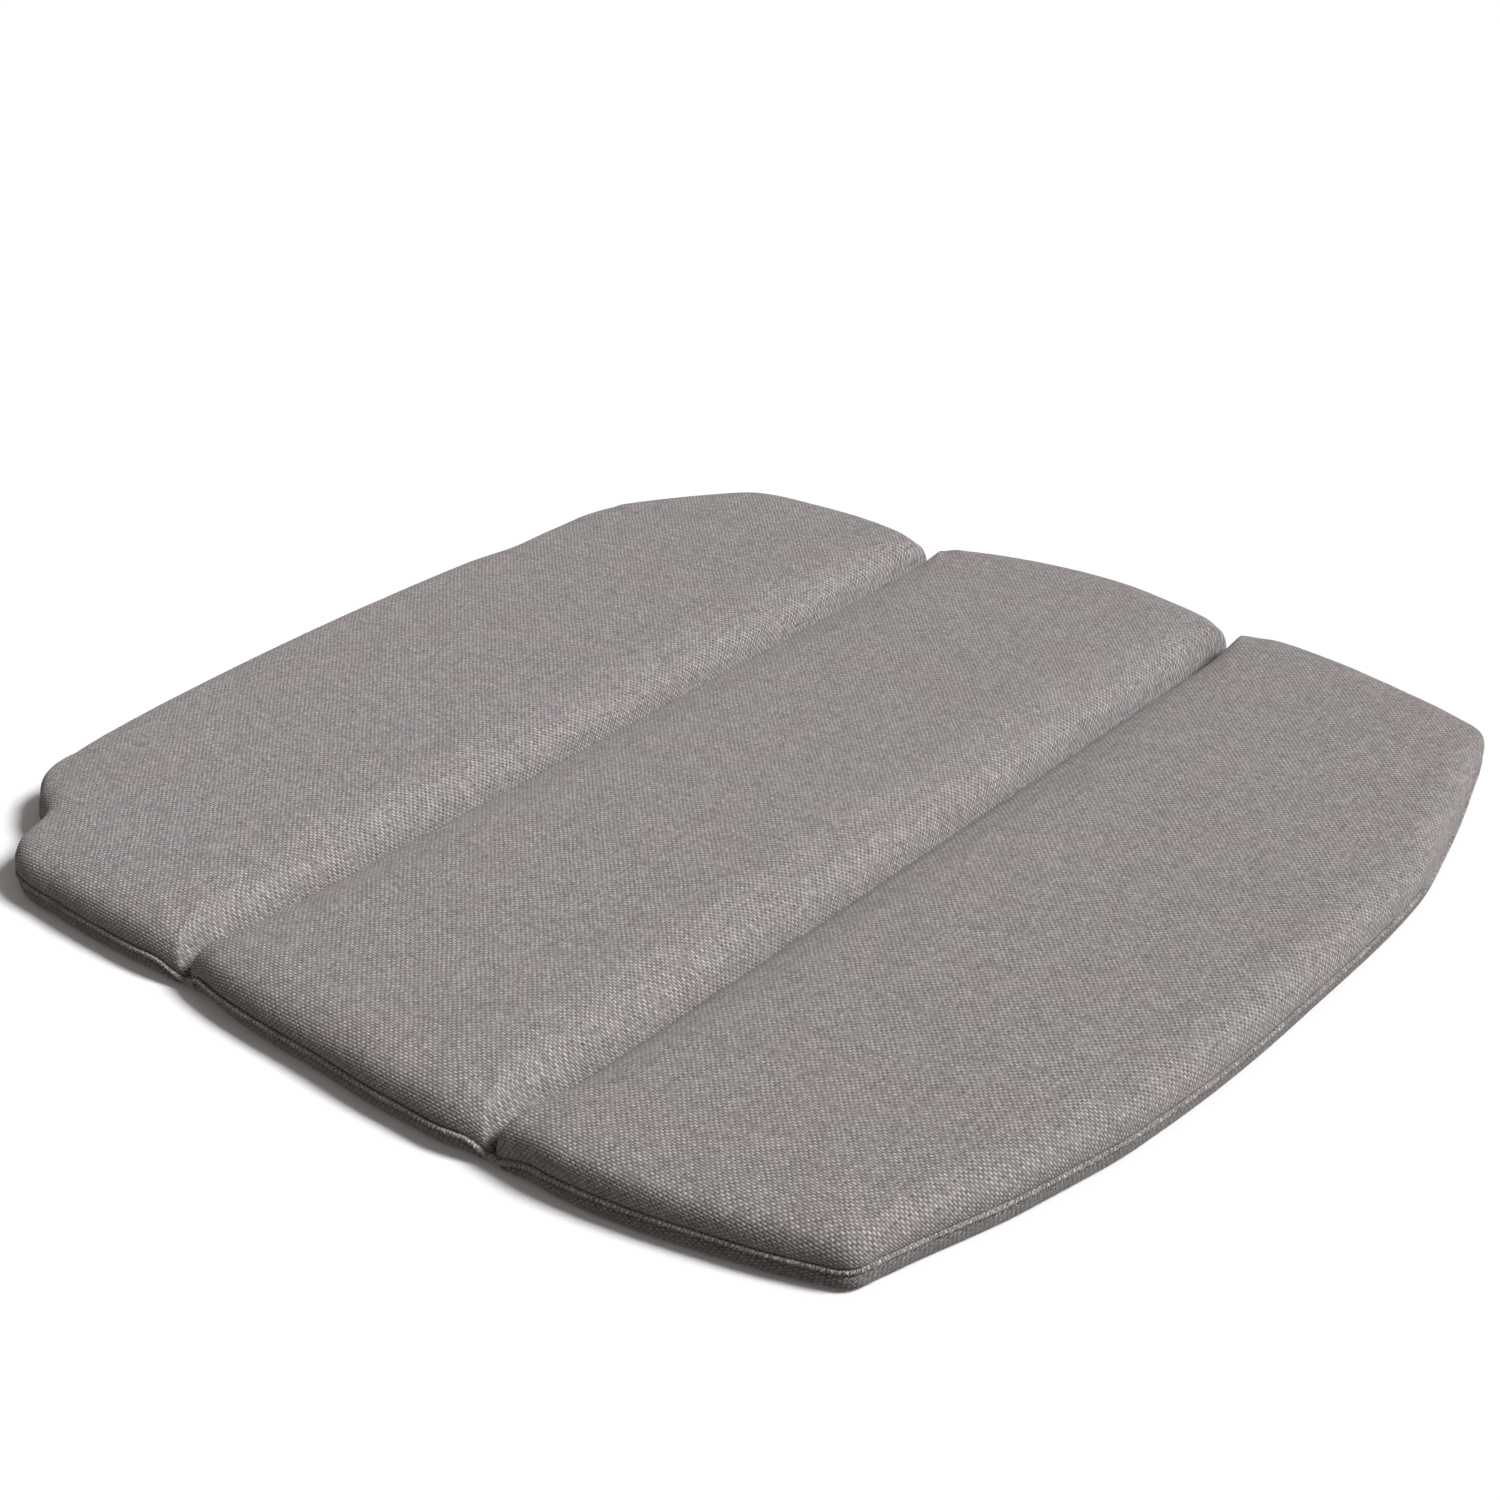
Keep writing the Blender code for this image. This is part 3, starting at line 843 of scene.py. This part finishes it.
def build_backdrop():
    """A pale dome round the floor, which the camera sees and the pad's light does not come from."""
    bpy.ops.mesh.primitive_uv_sphere_add(segments=48, ring_count=24, radius=DOME_RADIUS)
    dome = bpy.context.object
    dome.name = "backdrop"
    n = Nodes("studio_backdrop")
    n.shader.inputs["Base Color"].default_value = (0.0, 0.0, 0.0, 1)
    n.shader.inputs["Specular IOR Level"].default_value = 0.0
    n.shader.inputs["Emission Color"].default_value = (1.0, 1.0, 1.0, 1)
    n.shader.inputs["Emission Strength"].default_value = 0.96
    dome.data.materials.append(n.material)
    dome.visible_diffuse = False
    dome.visible_glossy = False
    dome.visible_shadow = False


def add_sun(name, towards, strength, spread, colour):
    """A sun whose light comes from the direction towards."""
    light = bpy.data.lights.new(name, "SUN")
    light.energy = strength
    light.angle = math.radians(spread)
    light.color = colour
    obj = bpy.data.objects.new(name, light)
    obj.rotation_mode = "QUATERNION"
    obj.rotation_quaternion = Vector(towards).to_track_quat("Z", "Y")
    bpy.context.scene.collection.objects.link(obj)


def build_lights():
    add_sun("key", (0.20, -0.645, 0.735), 3.93, 16, (0.99, 0.995, 1.0))
    add_sun("fill", (-0.22, -0.84, 0.50), 0.22, 30, (1.0, 0.98, 0.98))
    world = bpy.data.worlds.new("studio")
    world.use_nodes = True
    world.node_tree.nodes["Background"].inputs["Color"].default_value = (1.0, 0.92, 0.89, 1)
    world.node_tree.nodes["Background"].inputs["Strength"].default_value = 0.20
    bpy.context.scene.world = world


def build_camera():
    camera_data = bpy.data.cameras.new("camera")
    camera_data.sensor_width = 36.0
    camera_data.lens = CAMERA_LENS
    camera = bpy.data.objects.new("camera", camera_data)
    level = math.cos(CAMERA_PITCH)
    forward = Vector((math.cos(CAMERA_HEADING) * level, math.sin(CAMERA_HEADING) * level, -math.sin(CAMERA_PITCH)))
    camera.location = CAMERA_PLACE
    camera.rotation_mode = "QUATERNION"
    camera.rotation_quaternion = forward.to_track_quat("-Z", "Y")
    camera_data.clip_start = 0.01
    camera_data.clip_end = 100.0
    bpy.context.scene.collection.objects.link(camera)
    bpy.context.scene.camera = camera


def main():
    bpy.context.scene.view_settings.view_transform = "Standard"
    mats = make_materials()
    build_camera()
    build_floor()
    build_backdrop()
    build_lights()
    panels = {name: Panel(name) for name in ("front", "middle", "rear")}
    for name, panel in panels.items():
        cushion = build_cushion(panel, mats)
        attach(cushion, f"{name}_panel")
        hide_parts(*[f"{name}_{layer}" for layer in ("top_cover", "wadding", "foam", "bottom_cover")])
        build_welts(panel, mats)
    build_channel("front", FRONT_Y, (panels["front"], panels["middle"]), mats)
    build_channel("rear", REAR_Y, (panels["middle"], panels["rear"]), mats)


main()
